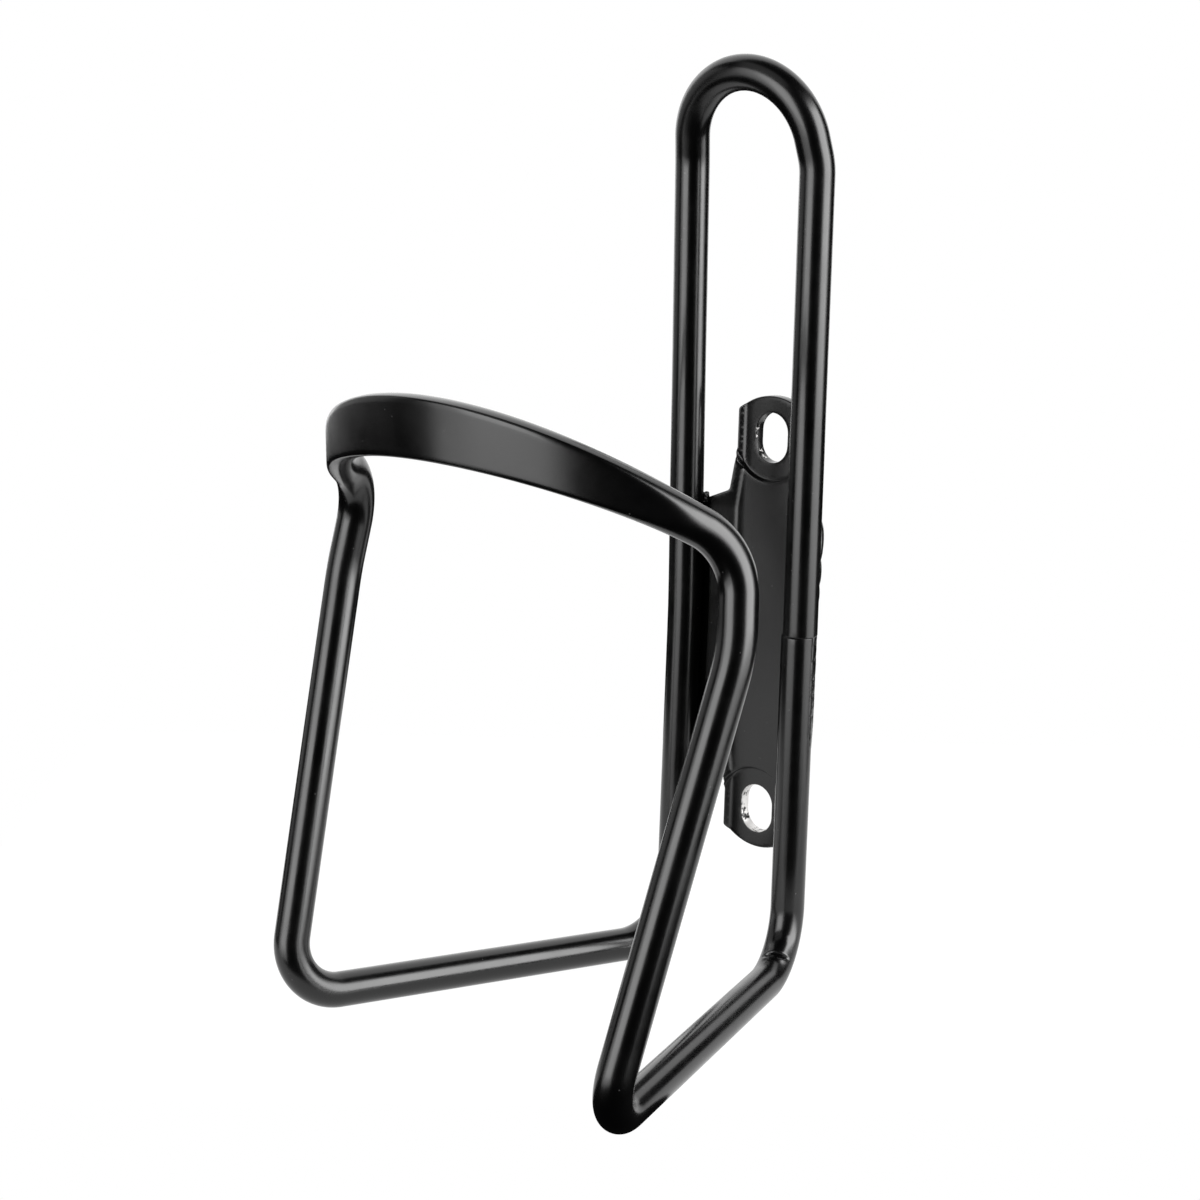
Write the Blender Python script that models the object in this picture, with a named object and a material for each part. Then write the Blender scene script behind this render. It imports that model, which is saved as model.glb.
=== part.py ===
"""Water bottle cage: one bent rod, flattened across the front, welded to a stamped mounting plate.

Frame: metres, +Z up along the uprights, -Y towards the bottle, +X to the right seen from the bottle's
side.  The origin lies on the plane that seats on the bicycle frame, midway between the two bolt slots.
"""

import math

import bmesh
import bpy
from mathutils import Vector

MM = 0.001

# Rod: the corners of its centre line and the radius of the bend at each
ROD_R = 2.8 * MM
ROD_SIDES = 20
BEND_STEP = math.radians(11.0)
UPRIGHT_Y = -8.75 * MM
RIGHT_CORNERS = (
    (Vector((11.6, -8.75, -55.0)) * MM, 10.2 * MM),
    (Vector((32.8, -80.9, -52.2)) * MM, 7.6 * MM),
    (Vector((38.9, -61.1, 13.2)) * MM, 30.0 * MM),
    (Vector((37.4, -59.2, 27.1)) * MM, 10.1 * MM),
)
LEFT_CORNERS = (
    (Vector((-37.0, -58.8, 26.6)) * MM, 10.0 * MM),
    (Vector((-38.7, -61.1, 13.3)) * MM, 20.0 * MM),
    (Vector((-32.5, -80.6, -51.4)) * MM, 8.1 * MM),
    (Vector((-13.0, -8.75, -56.9)) * MM, 9.8 * MM),
    (Vector((-11.7, -8.75, 3.2)) * MM, 300.0 * MM),
)

# Front hoop: an arc in a plane that rises towards the front, pressed flat and tall across its middle
HOOP_FRONT = Vector((0.0, -81.8, 41.5)) * MM
HOOP_R = 38.6 * MM
HOOP_TILT = math.radians(32.8)
LEFT_HOOP_TRIM = math.radians(8.0)
BAND_HEIGHT = 8.9 * MM
BAND_LEAN = math.radians(-3.0)
BAND_HALF_LENGTH = 44.3 * MM
BAND_SHIFT = 2.0 * MM
BAND_TAPER = 1.55

# Top loop, leaning towards the bottle
KINK = Vector((12.3, -8.75, 76.3)) * MM
KINK_R = 12.5 * MM
LOOP_R = 11.85 * MM
LOOP_RISE = 2.35 * MM
LOOP_TILT = math.radians(12.4)

# Butt joint of the rod's two ends, on the right upright
SEAM_Z = 1.8 * MM
SEAM_OFFSET = 0.3 * MM

# Mounting plate
GAP = 0.3 * MM
SHEET = 2.0 * MM
PLATE_TURN = math.radians(0.6)
PLATE_HALF_HEIGHT = 38.9 * MM
TAB_HALF_WIDTH = 6.6 * MM
TAB_SHOULDER_Z = 36.4 * MM
SLOT_Z = 32.0 * MM
SLOT_WIDTH = 6.3 * MM
SLOT_LENGTH = 8.3 * MM
PAD_R = 7.0 * MM
WEB_STEP = 0.8 * MM
STEP_WIDTH = 0.6 * MM
FOLD_HALF_WIDTH = 6.0 * MM
FOLD_NARROW = 4.9 * MM
FOLD_NARROW_Z = 27.0 * MM
FOLD_WIDE_Z = 19.8 * MM
FLANGE_SLOPE = math.tan(math.radians(27.8))
LIP_START = 5.2 * MM
LIP_SLOPE = math.tan(math.radians(16.0))
WAIST_HALF_WIDTH = 6.25 * MM
WAIST_Z = 28.1 * MM
TAB_ROOT_Z = 29.1 * MM
NOTCH_HALF_WIDTH = 7.2 * MM
NOTCH_Z = 22.6 * MM
FLANGE_Z = 20.5 * MM
FLANGE_END_INSET = 0.6 * MM
FOLD_MARGIN = 0.1 * MM
OUTLINE_STEPS = 8
CUTTER_REACH = 8.0 * MM

# Spacing of the sheet's columns and rows
SHEET_REACH = 12.4 * MM
COLUMN_STEP = 0.95 * MM
ROW_STEP = 3.0 * MM
FINE_ROW_STEP = 0.75 * MM
STEP_ROWS_FROM = 21.0 * MM
STEP_ROWS_TO = 28.5 * MM

# Weld beads, behind each upright
BEAD_Z = (-17.0 * MM, 20.0 * MM)
BEAD_PITCH = 3.7 * MM
BEAD_RIPPLE = 0.12 * MM
BEAD_CLEARANCE = 0.33 * MM
BEAD_WALL = 0.6 * MM
BEAD_SHOULDER = Vector((1.1, 3.75)) * MM
BEAD_ROOT = Vector((0.1, 4.6)) * MM
BEAD_SPAN = (math.radians(36.0), math.radians(84.0))
BEAD_CROWN = (math.radians(41.0), math.radians(53.0))
BEAD_STEPS = 4
ROWS_PER_RIPPLE = 4


def clear_scene():
    for item in list(bpy.data.objects):
        bpy.data.objects.remove(item, do_unlink=True)


def make_material(name, colour, roughness, metallic):
    material = bpy.data.materials.new(name)
    material.use_nodes = True
    shader = material.node_tree.nodes["Principled BSDF"]
    shader.inputs["Base Color"].default_value = (*colour, 1.0)
    shader.inputs["Roughness"].default_value = roughness
    shader.inputs["Metallic"].default_value = metallic
    return material


def object_from(name, points, faces, material):
    mesh = bpy.data.meshes.new(name)
    mesh.from_pydata([tuple(p) for p in points], [], faces)
    edit = bmesh.new()
    edit.from_mesh(mesh)
    bmesh.ops.recalc_face_normals(edit, faces=edit.faces)
    edit.to_mesh(mesh)
    edit.free()
    mesh.materials.append(material)
    mesh.shade_smooth()
    mesh.set_sharp_from_angle(angle=math.radians(40.0))
    item = bpy.data.objects.new(name, mesh)
    bpy.context.scene.collection.objects.link(item)
    return item


def smooth_step(t):
    t = min(max(t, 0.0), 1.0)
    return t * t * (3.0 - 2.0 * t)


# --- the rod's path ---------------------------------------------------------------------------------


def bend(before, corner, after, radius):
    """Points of the arc that rounds one corner of the path."""
    back = (before - corner).normalized()
    ahead = (after - corner).normalized()
    inner = back.angle(ahead)
    setback = radius / math.tan(inner / 2.0)
    centre = corner + (back + ahead).normalized() * (radius / math.sin(inner / 2.0))
    start = corner + back * setback - centre
    axis = start.cross(corner + ahead * setback - centre).normalized()
    turn = math.pi - inner
    steps = max(2, math.ceil(turn / BEND_STEP))
    side = axis.cross(start)
    arc = []
    for k in range(steps + 1):
        angle = turn * k / steps
        arc.append(centre + start * math.cos(angle) + side * math.sin(angle))
    return arc


def round_corners(start, corners, end):
    """Points of a path from start to end with each (corner, radius) between them rounded."""
    stops = [start] + [corner for corner, radius in corners] + [end]
    points = []
    for k, (corner, radius) in enumerate(corners):
        points += bend(stops[k], corner, stops[k + 2], radius)
    return points


def tangent_angle(foot, centre, up, radius):
    """Angle from up, about centre, at which a straight line from foot meets the arc."""
    rise = (foot - centre).dot(up)
    return math.atan2(abs(foot.x), rise) - math.acos(radius / math.hypot(foot.x, rise))


def arc_points(centre, up, radius, first, last):
    """Arc in the plane of up and the X axis; angles run from up towards +X."""
    steps = math.ceil(abs(last - first) / BEND_STEP)
    arc = []
    for k in range(steps + 1):
        angle = first + (last - first) * k / steps
        across = Vector((math.sin(angle), 0.0, 0.0))
        arc.append(centre + (across + up * math.cos(angle)) * radius)
    return arc


def upright_x(z):
    """Distance of an upright's centre line from the middle at a height."""
    foot = RIGHT_CORNERS[0][0]
    return foot.x + (KINK.x - foot.x) * (z - foot.z) / (KINK.z - foot.z)


def rod_path():
    """Centre line from the lower side of the butt joint, round the cage, to its upper side."""
    hoop_up = Vector((0.0, -math.cos(HOOP_TILT), math.sin(HOOP_TILT)))
    hoop_centre = HOOP_FRONT - hoop_up * HOOP_R
    right_end = tangent_angle(RIGHT_CORNERS[-1][0], hoop_centre, hoop_up, HOOP_R)
    left_end = tangent_angle(LEFT_CORNERS[0][0], hoop_centre, hoop_up, HOOP_R)
    right_hoop = arc_points(hoop_centre, hoop_up, HOOP_R, right_end, 0.0)
    left_hoop = arc_points(hoop_centre, hoop_up, HOOP_R, 0.0, LEFT_HOOP_TRIM - left_end)

    loop_up = Vector((0.0, -math.sin(LOOP_TILT), math.cos(LOOP_TILT)))
    loop_centre = Vector((0.0, KINK.y, KINK.z)) + loop_up * LOOP_RISE
    loop_end = tangent_angle(KINK, loop_centre, loop_up, LOOP_R)
    loop = arc_points(loop_centre, loop_up, LOOP_R, -loop_end, loop_end)

    lower_end = Vector((upright_x(SEAM_Z), UPRIGHT_Y, SEAM_Z - GAP / 2.0))
    upper_end = Vector((upright_x(SEAM_Z) + SEAM_OFFSET, UPRIGHT_Y, SEAM_Z + GAP / 2.0))
    left_kink = (Vector((-KINK.x, KINK.y, KINK.z)), KINK_R)
    right_side = round_corners(lower_end, RIGHT_CORNERS, right_hoop[0])
    left_side = round_corners(left_hoop[-1], LEFT_CORNERS + (left_kink,), loop[0])
    right_kink = round_corners(loop[-1], ((KINK, KINK_R),), upper_end)
    front = len(right_side) + len(right_hoop) - 1
    path = [lower_end] + right_side + right_hoop[1:] + left_hoop[1:-1] + left_side + loop[1:-1]
    return path + right_kink + [upper_end], front


def tangents(path):
    directions = [(b - a).normalized() for a, b in zip(path, path[1:])]
    joined = [(a + b).normalized() for a, b in zip(directions, directions[1:])]
    return [directions[0]] + joined + [directions[-1]]


def carry(direction, old_tangent, new_tangent):
    """Turn a cross direction along with the path, without twisting it."""
    turned = old_tangent.rotation_difference(new_tangent) @ direction
    return (turned - new_tangent * turned.dot(new_tangent)).normalized()


def cross_directions(along, from_middle):
    """Direction of the rod's height: up the bottle on the pressed band, and carried on beyond it."""
    upward = Vector((0.0, math.sin(BAND_LEAN), math.cos(BAND_LEAN)))
    band = [k for k, length in enumerate(from_middle) if abs(length) <= BAND_HALF_LENGTH]
    directions = [None] * len(along)
    for k in band:
        directions[k] = (upward - along[k] * upward.dot(along[k])).normalized()
    for k in range(band[-1] + 1, len(along)):
        directions[k] = carry(directions[k - 1], along[k - 1], along[k])
    for k in range(band[0] - 1, -1, -1):
        directions[k] = carry(directions[k + 1], along[k + 1], along[k])
    return directions


def half_height(distance):
    """Half the rod's height at a distance from the middle of the pressed band."""
    share = max(0.0, 1.0 - (distance / BAND_HALF_LENGTH) ** 2)
    return ROD_R + (BAND_HEIGHT / 2.0 - ROD_R) * share**BAND_TAPER


def flat_depth(tall):
    """Half thickness between the pressed flats; the rod's sectional area stays the same."""
    area = math.pi * ROD_R**2
    thin, thick = 0.2 * tall, tall
    for _ in range(40):
        middle = (thin + thick) / 2.0
        cut = 2.0 * (middle * math.sqrt(tall**2 - middle**2) + tall**2 * math.asin(middle / tall))
        if cut > area:
            thick = middle
        else:
            thin = middle
    return thick


def section_point(tall, thin, angle):
    """Point of a circle that is cut by two flats."""
    rise, run = tall * math.sin(angle), thin * math.cos(angle)
    length = math.hypot(rise, run)
    reach = min(tall, thin * length / max(abs(run), 1e-12))
    return run * reach / length, rise * reach / length


def make_rod(material):
    path, front = rod_path()
    along = tangents(path)
    lengths = [0.0]
    for a, b in zip(path, path[1:]):
        lengths.append(lengths[-1] + (b - a).length)
    from_middle = [length - lengths[front] - BAND_SHIFT for length in lengths]
    heights = cross_directions(along, from_middle)
    points = []
    for centre, tangent, height, distance in zip(path, along, heights, from_middle):
        across = tangent.cross(height)
        tall = half_height(distance)
        thin = flat_depth(tall)
        for k in range(ROD_SIDES):
            x, y = section_point(tall, thin, math.tau * (k + 0.5) / ROD_SIDES)
            points.append(centre + across * x + height * y)
    faces = []
    for row in range(len(path) - 1):
        first = row * ROD_SIDES
        for k in range(ROD_SIDES):
            after = (k + 1) % ROD_SIDES
            faces.append((first + k, first + after, first + ROD_SIDES + after, first + ROD_SIDES + k))
    faces.append(tuple(range(ROD_SIDES)))
    faces.append(tuple(range(len(points) - ROD_SIDES, len(points))))
    return object_from("bent_rod", points, faces, material)


# --- the mounting plate -----------------------------------------------------------------------------


def fold_x(z):
    """Where the web ends and the flange starts, across the plate."""
    share = (abs(z) - FOLD_WIDE_Z) / (FOLD_NARROW_Z - FOLD_WIDE_Z)
    return FOLD_HALF_WIDTH + (FOLD_NARROW - FOLD_HALF_WIDTH) * min(max(share, 0.0), 1.0)


def plate_front(x, z):
    """Depth of the plate's front face: pads at both ends, a raised web between them, folded edges."""
    from_slot = math.hypot(x, abs(z) - SLOT_Z)
    on_web = smooth_step((from_slot - PAD_R) / STEP_WIDTH) if abs(z) < SLOT_Z else 0.0
    web = max(0.0, abs(x) - fold_x(z)) * FLANGE_SLOPE
    lip = max(0.0, abs(x) - LIP_START) * LIP_SLOPE
    return -SHEET - on_web * (WEB_STEP + web) - (1.0 - on_web) * lip


def plate_outline():
    """Outline seen from the front, one quarter mirrored twice."""
    rise = PLATE_HALF_HEIGHT - TAB_SHOULDER_Z
    end_r = (TAB_HALF_WIDTH**2 + rise**2) / (2.0 * rise)
    widest = math.asin(TAB_HALF_WIDTH / end_r)
    quarter = [(upright_x(0.0) - FLANGE_END_INSET, 0.0)]
    quarter.append((upright_x(FLANGE_Z) - FLANGE_END_INSET, FLANGE_Z))
    quarter.append((NOTCH_HALF_WIDTH, NOTCH_Z))
    quarter.append((WAIST_HALF_WIDTH, WAIST_Z))
    quarter.append((TAB_HALF_WIDTH, TAB_ROOT_Z))
    for k in range(OUTLINE_STEPS + 1):
        angle = widest * (1.0 - k / OUTLINE_STEPS)
        quarter.append((end_r * math.sin(angle), PLATE_HALF_HEIGHT - end_r * (1.0 - math.cos(angle))))
    upper = quarter + [(-x, z) for x, z in reversed(quarter[:-1])]
    lower = [(x, -z) for x, z in reversed(upper[1:-1])]
    return upper + lower


def slot_outline(z):
    straight = (SLOT_LENGTH - SLOT_WIDTH) / 2.0
    outline = []
    for side in (1.0, -1.0):
        for k in range(OUTLINE_STEPS + 1):
            angle = math.pi * k / OUTLINE_STEPS + (0.0 if side > 0 else math.pi)
            x = SLOT_WIDTH / 2.0 * math.cos(angle)
            outline.append((x, z + side * straight + SLOT_WIDTH / 2.0 * math.sin(angle)))
    return outline


def make_prism(name, outline):
    """An upright prism through the plate, used as a cutter."""
    count = len(outline)
    points = [(x, -CUTTER_REACH, z) for x, z in outline]
    points += [(x, CUTTER_REACH, z) for x, z in outline]
    faces = [tuple(range(count)), tuple(range(count, 2 * count))]
    faces += [(k, (k + 1) % count, count + (k + 1) % count, count + k) for k in range(count)]
    mesh = bpy.data.meshes.new(name)
    mesh.from_pydata(points, [], faces)
    edit = bmesh.new()
    edit.from_mesh(mesh)
    bmesh.ops.recalc_face_normals(edit, faces=edit.faces)
    edit.to_mesh(mesh)
    edit.free()
    item = bpy.data.objects.new(name, mesh)
    bpy.context.scene.collection.objects.link(item)
    item.hide_render = True
    item.display_type = "WIRE"
    return item


def plate_columns():
    """Positions across half the sheet, mirrored."""
    count = math.ceil(SHEET_REACH / COLUMN_STEP)
    half = [COLUMN_STEP * k for k in range(count + 1)]
    return [-x for x in reversed(half[1:])] + half


def plate_rows():
    """Levels up half the sheet, close together where the web steps up from the pad, mirrored."""
    half = [0.0]
    while half[-1] < PLATE_HALF_HEIGHT:
        near_step = STEP_ROWS_FROM <= half[-1] < STEP_ROWS_TO
        half.append(half[-1] + (FINE_ROW_STEP if near_step else ROW_STEP))
    return [-z for z in reversed(half[1:])] + half


def make_plate(material):
    columns = plate_columns()
    rows = plate_rows()
    thickness_on_slope = SHEET * math.hypot(1.0, FLANGE_SLOPE)
    front = []
    back = []
    for z in rows:
        for x in columns:
            depth = plate_front(x, z)
            on_flange = abs(x) > fold_x(z) + FOLD_MARGIN and abs(z) < TAB_ROOT_Z
            front.append((x, depth, z))
            back.append((x, depth + (thickness_on_slope if on_flange else SHEET), z))
    width = len(columns)
    count = len(front)
    faces = []
    for r in range(len(rows) - 1):
        for c in range(width - 1):
            a = r * width + c
            quad = (a, a + 1, a + width + 1, a + width)
            faces.append(quad)
            faces.append(tuple(count + k for k in reversed(quad)))
    rim = list(range(width)) + [r * width + width - 1 for r in range(1, len(rows))]
    rim += [count - 1 - c for c in range(1, width)] + [r * width for r in range(len(rows) - 2, 0, -1)]
    for a, b in zip(rim, rim[1:] + rim[:1]):
        faces.append((a, b, count + b, count + a))
    plate = object_from("mounting_plate", front + back, faces, material)
    cut(plate, make_prism("outline_cutter", plate_outline()), "INTERSECT")
    cut(plate, make_prism("upper_slot_cutter", slot_outline(SLOT_Z)), "DIFFERENCE")
    cut(plate, make_prism("lower_slot_cutter", slot_outline(-SLOT_Z)), "DIFFERENCE")
    plate.rotation_euler.y = PLATE_TURN
    return plate


def cut(item, cutter, operation):
    cutter.parent = item
    modifier = item.modifiers.new(cutter.name, "BOOLEAN")
    modifier.operation = operation
    modifier.solver = "EXACT"
    modifier.object = cutter


# --- the weld beads ---------------------------------------------------------------------------------


def bead_section(swell):
    """Section of a bead behind a rod at the origin: inner side follows the rod, outer side bulges."""
    inner_r = ROD_R + BEAD_CLEARANCE
    outer_r = inner_r + BEAD_WALL + swell
    first, last = BEAD_SPAN
    section = []
    for k in range(BEAD_STEPS + 1):
        angle = last + (first - last) * k / BEAD_STEPS
        section.append((inner_r * math.cos(angle), inner_r * math.sin(angle)))
    for angle in BEAD_CROWN:
        section.append((outer_r * math.cos(angle), outer_r * math.sin(angle)))
    section.append((BEAD_SHOULDER.x + swell, BEAD_SHOULDER.y + swell))
    section.append((BEAD_ROOT.x, BEAD_ROOT.y + swell))
    return section


def make_bead(name, side, material):
    low, high = BEAD_Z
    ripples = round((high - low) / BEAD_PITCH)
    rows = ripples * ROWS_PER_RIPPLE
    points = []
    for row in range(rows + 1):
        z = low + (high - low) * row / rows
        swell = BEAD_RIPPLE * math.cos(math.tau * row / ROWS_PER_RIPPLE)
        for x, y in bead_section(swell):
            points.append((side * (upright_x(z) + x), UPRIGHT_Y + y, z))
    width = len(points) // (rows + 1)
    faces = [tuple(range(width)), tuple(range(rows * width, (rows + 1) * width))]
    for row in range(rows):
        for k in range(width):
            a = row * width + k
            b = row * width + (k + 1) % width
            faces.append((a, b, b + width, a + width))
    return object_from(name, points, faces, material)


def main():
    clear_scene()
    make_rod(make_material("black_paint", (0.012, 0.012, 0.013), 0.38, 0.0))
    make_plate(make_material("plate_paint", (0.012, 0.012, 0.013), 0.42, 0.0))
    make_bead("right_weld_bead", 1.0, make_material("right_bead_paint", (0.012, 0.012, 0.013), 0.42, 0.0))
    make_bead("left_weld_bead", -1.0, make_material("left_bead_paint", (0.012, 0.012, 0.013), 0.42, 0.0))


main()
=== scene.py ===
"""Looks of the water bottle cage: a smooth bent rod, a stamped plate and rippled welds in black paint."""

import math

import bmesh
import bpy
from mathutils import Matrix
from mathutils import Vector
from mathutils import noise
from mathutils.geometry import delaunay_2d_cdt

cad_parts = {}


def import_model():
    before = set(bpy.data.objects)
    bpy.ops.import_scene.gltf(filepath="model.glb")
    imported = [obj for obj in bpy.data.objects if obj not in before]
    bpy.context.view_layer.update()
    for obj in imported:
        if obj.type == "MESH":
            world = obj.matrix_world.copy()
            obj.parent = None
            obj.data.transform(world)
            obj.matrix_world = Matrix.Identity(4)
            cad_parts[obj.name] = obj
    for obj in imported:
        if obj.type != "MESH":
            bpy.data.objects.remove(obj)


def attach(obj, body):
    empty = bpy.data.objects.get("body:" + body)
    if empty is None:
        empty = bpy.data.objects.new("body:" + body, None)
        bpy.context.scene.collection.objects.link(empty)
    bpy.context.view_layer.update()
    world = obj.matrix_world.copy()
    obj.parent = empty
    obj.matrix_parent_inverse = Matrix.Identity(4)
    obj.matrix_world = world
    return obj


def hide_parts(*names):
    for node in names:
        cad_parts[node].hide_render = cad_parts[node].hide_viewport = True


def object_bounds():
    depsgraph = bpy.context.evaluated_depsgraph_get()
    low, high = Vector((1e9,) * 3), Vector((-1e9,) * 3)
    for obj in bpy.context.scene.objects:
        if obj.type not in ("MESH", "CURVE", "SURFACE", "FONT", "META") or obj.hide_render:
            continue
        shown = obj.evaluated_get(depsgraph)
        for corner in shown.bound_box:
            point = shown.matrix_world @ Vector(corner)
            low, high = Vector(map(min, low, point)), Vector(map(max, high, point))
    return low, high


MM = 0.001
SHARP_ANGLE = math.radians(50.0)
ROD_SHARP_ANGLE = math.radians(60.0)

# Rod: the corners of its centre line and the radius of the bend at each
ROD_R = 2.8 * MM
ROD_SIDES = 84
BEND_STEP = math.radians(2.5)
STATION_STEP = 1.2 * MM
SAME_PLACE = 0.02 * MM
UPRIGHT_Y = -8.75 * MM
RIGHT_CORNERS = (
    (Vector((11.6, -8.75, -55.0)) * MM, 10.2 * MM),
    (Vector((32.8, -80.9, -52.2)) * MM, 7.6 * MM),
    (Vector((38.9, -61.1, 13.2)) * MM, 30.0 * MM),
    (Vector((37.4, -59.2, 27.1)) * MM, 10.1 * MM),
)
LEFT_CORNERS = (
    (Vector((-37.0, -58.8, 26.6)) * MM, 10.0 * MM),
    (Vector((-38.7, -61.1, 13.3)) * MM, 20.0 * MM),
    (Vector((-32.5, -80.6, -51.4)) * MM, 8.1 * MM),
    (Vector((-13.0, -8.75, -56.9)) * MM, 9.8 * MM),
    (Vector((-11.7, -8.75, 3.2)) * MM, 300.0 * MM),
)

# Front hoop: an arc in a plane that rises towards the front, pressed flat and tall across its middle
HOOP_FRONT = Vector((0.0, -81.8, 41.5)) * MM
HOOP_R = 38.6 * MM
HOOP_TILT = math.radians(32.8)
LEFT_HOOP_TRIM = math.radians(8.0)
BAND_HEIGHT = 8.9 * MM
BAND_LEAN = math.radians(-3.0)
BAND_HALF_LENGTH = 44.3 * MM
BAND_SHIFT = 2.0 * MM
BAND_TAPER = 1.55
FLAT_FADE = 0.8
SOFT_CORNER = 8.0
CRISP_CORNER = 30.0
THINNEST = 0.2
HALVINGS = 40

# Top loop, leaning towards the bottle
KINK = Vector((12.3, -8.75, 76.3)) * MM
KINK_R = 12.5 * MM
LOOP_R = 11.85 * MM
LOOP_RISE = 2.35 * MM
LOOP_TILT = math.radians(12.4)

# Butt joint of the rod's two ends, on the right upright
SEAM_Z = 1.8 * MM
SEAM_OFFSET = 0.3 * MM
SEAM_GAP = 0.03 * MM
SEAM_CHAMFER = 0.26 * MM
CHAMFER_LEAST = 0.35
CHAMFER_PHASE = 0.7
CHAMFER_STATIONS = 4

# Pinched crease in the right rear bend: how far round the bend, and its middle and half width in degrees
# round the rod
CREASE_TURN = math.radians(60.0)
CREASE_CENTRE = 12.0
CREASE_SPAN = 36.0
CREASE_REACH = 5.0 * MM
FINE_STEP = 0.12 * MM
FINE_REACH = 3.0 * MM

# Profile along the rod across the crease, in millimetres: a long lip, the fold and a short lip.  The whole
# of it slants by CREASE_SLANT for each degree round the rod, and wavers.
LONG_LIP_HEIGHT = 0.34
LONG_LIP_REACH = 4.0
LONG_LIP_SPAN = 3.6
LONG_LIP_END = -0.15
CREASE_DEPTH = 0.50
CREASE_AT = 0.1
CREASE_WIDTH = 0.30
SHORT_LIP_HEIGHT = 0.10
SHORT_LIP_AT = 0.8
SHORT_LIP_WIDTH = 0.5
CREASE_SLANT = 0.010
CREASE_WAVER = 0.08
CREASE_WAVER_SCALE = 900.0

# Mounting plate
SHEET = 2.0 * MM
PLATE_TURN = math.radians(0.6)
PLATE_HALF_HEIGHT = 38.9 * MM
TAB_HALF_WIDTH = 6.6 * MM
TAB_SHOULDER_Z = 36.4 * MM
SLOT_Z = 32.0 * MM
SLOT_WIDTH = 6.3 * MM
SLOT_LENGTH = 8.3 * MM
PAD_R = 7.0 * MM
WEB_STEP = 0.8 * MM
STEP_WIDTH = 0.45 * MM
FOLD_HALF_WIDTH = 6.0 * MM
FOLD_NARROW = 4.9 * MM
FOLD_NARROW_Z = 27.0 * MM
FOLD_WIDE_Z = 19.8 * MM
FOLD_SOFTNESS = 0.45 * MM
LIP_SOFTNESS = 1.1 * MM
FOLD_BLEND = 2.0 * MM
FLANGE_SLOPE = math.tan(math.radians(27.8))
LIP_START = 5.5 * MM
LIP_SLOPE = math.tan(math.radians(31.0))
WAIST_HALF_WIDTH = 6.25 * MM
WAIST_Z = 28.1 * MM
TAB_ROOT_Z = 29.1 * MM
NOTCH_HALF_WIDTH = 7.2 * MM
NOTCH_Z = 22.6 * MM
FLANGE_Z = 20.5 * MM
FLANGE_REACH = 0.3 * MM
OUTLINE_CORNER_R = 0.9 * MM
OUTLINE_STEP = 0.5 * MM
CORNER_SHARE = 0.45
CORNER_STEP = math.radians(12.0)
SMALLEST_CORNER = 0.05 * MM
STRAIGHT_TURN = 0.02
TAB_STEPS = 8
SLOT_STEPS = 20
RIM_R = 0.28 * MM
SLOT_RIM_R = 0.15 * MM
RIM_STEPS = 4

# Spacing of the sheet's points: an even grid, with rings along each step between pad and web
GRID_STEP = 0.45 * MM
GRID_CLEARANCE = 0.3 * MM
ROW_SHARE = 0.87
STEP_RINGS = 8
STEP_POINTS = 90
STEP_MARGIN = 0.1 * MM
RING_CLEARANCE = 0.12 * MM
SAME_POINT = 1e-9

# Weld beads: each lobe's bottom and how far it stands proud of the rod, in millimetres.  Angles are in
# degrees round the rod, from +X towards the plate.
BEAD_TOP = 21.0 * MM
RIGHT_LOBES = (
    (14.0, 0.68), (9.9, 0.50), (6.7, 0.30), (3.7, 0.20), (0.6, 0.18), (-2.4, 0.15),
    (-5.3, 0.17), (-8.4, 0.14), (-11.3, 0.15), (-14.5, 0.12), (-17.4, 0.12),
)
LEFT_LOBES = (
    (17.2, 0.45), (12.9, 0.55), (8.1, 0.38), (4.4, 0.46), (0.2, 0.34), (-3.6, 0.38),
    (-7.9, 0.30), (-11.6, 0.34), (-14.6, 0.26), (-17.4, 0.24),
)
LOBE_ROUNDNESS = 0.6
BEAD_DIP = 0.4
BEAD_FLAT_RISE = 0.25
BEAD_FLAT_DIP = 0.72
BEAD_HIGH = 32.0
BEAD_LOW = -6.0
BEAD_WRAP_Z = -4.0 * MM
BEAD_WRAP = 19.0 * MM
BEAD_END = 98.0
BEAD_END_SHARPNESS = 18
BEAD_WANDER = 3.0
BEAD_WANDER_SCALE = 400.0
BEAD_EDGE = 15.0
BEAD_PLATE_REACH = 1.6 * MM
BEAD_PLATE_FROM = 45.0
BEAD_PLATE_SPAN = 52.0
BEAD_GRAIN = 0.025 * MM
BEAD_GRAIN_SCALE = 1600.0
BEAD_BURIED = 0.05 * MM
BEAD_ROOT = 0.5 * MM
BEAD_ROWS = 300
BEAD_PROFILE = 26

# Drop where the left bead starts: its place from the upright's middle line at the flange's top corner, its
# radii in millimetres, and its lumps
WELD_END_OFFSET = (2.35 * MM, 2.2 * MM, 1.0 * MM)
WELD_END_RADII = (0.7, 0.8, 0.95)
WELD_END_LUMPS = 0.35
WELD_END_LUMP_SCALE = 1.7
WELD_END_LUMP_PLACE = Vector((4.0, 0.0, 2.0))

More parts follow.
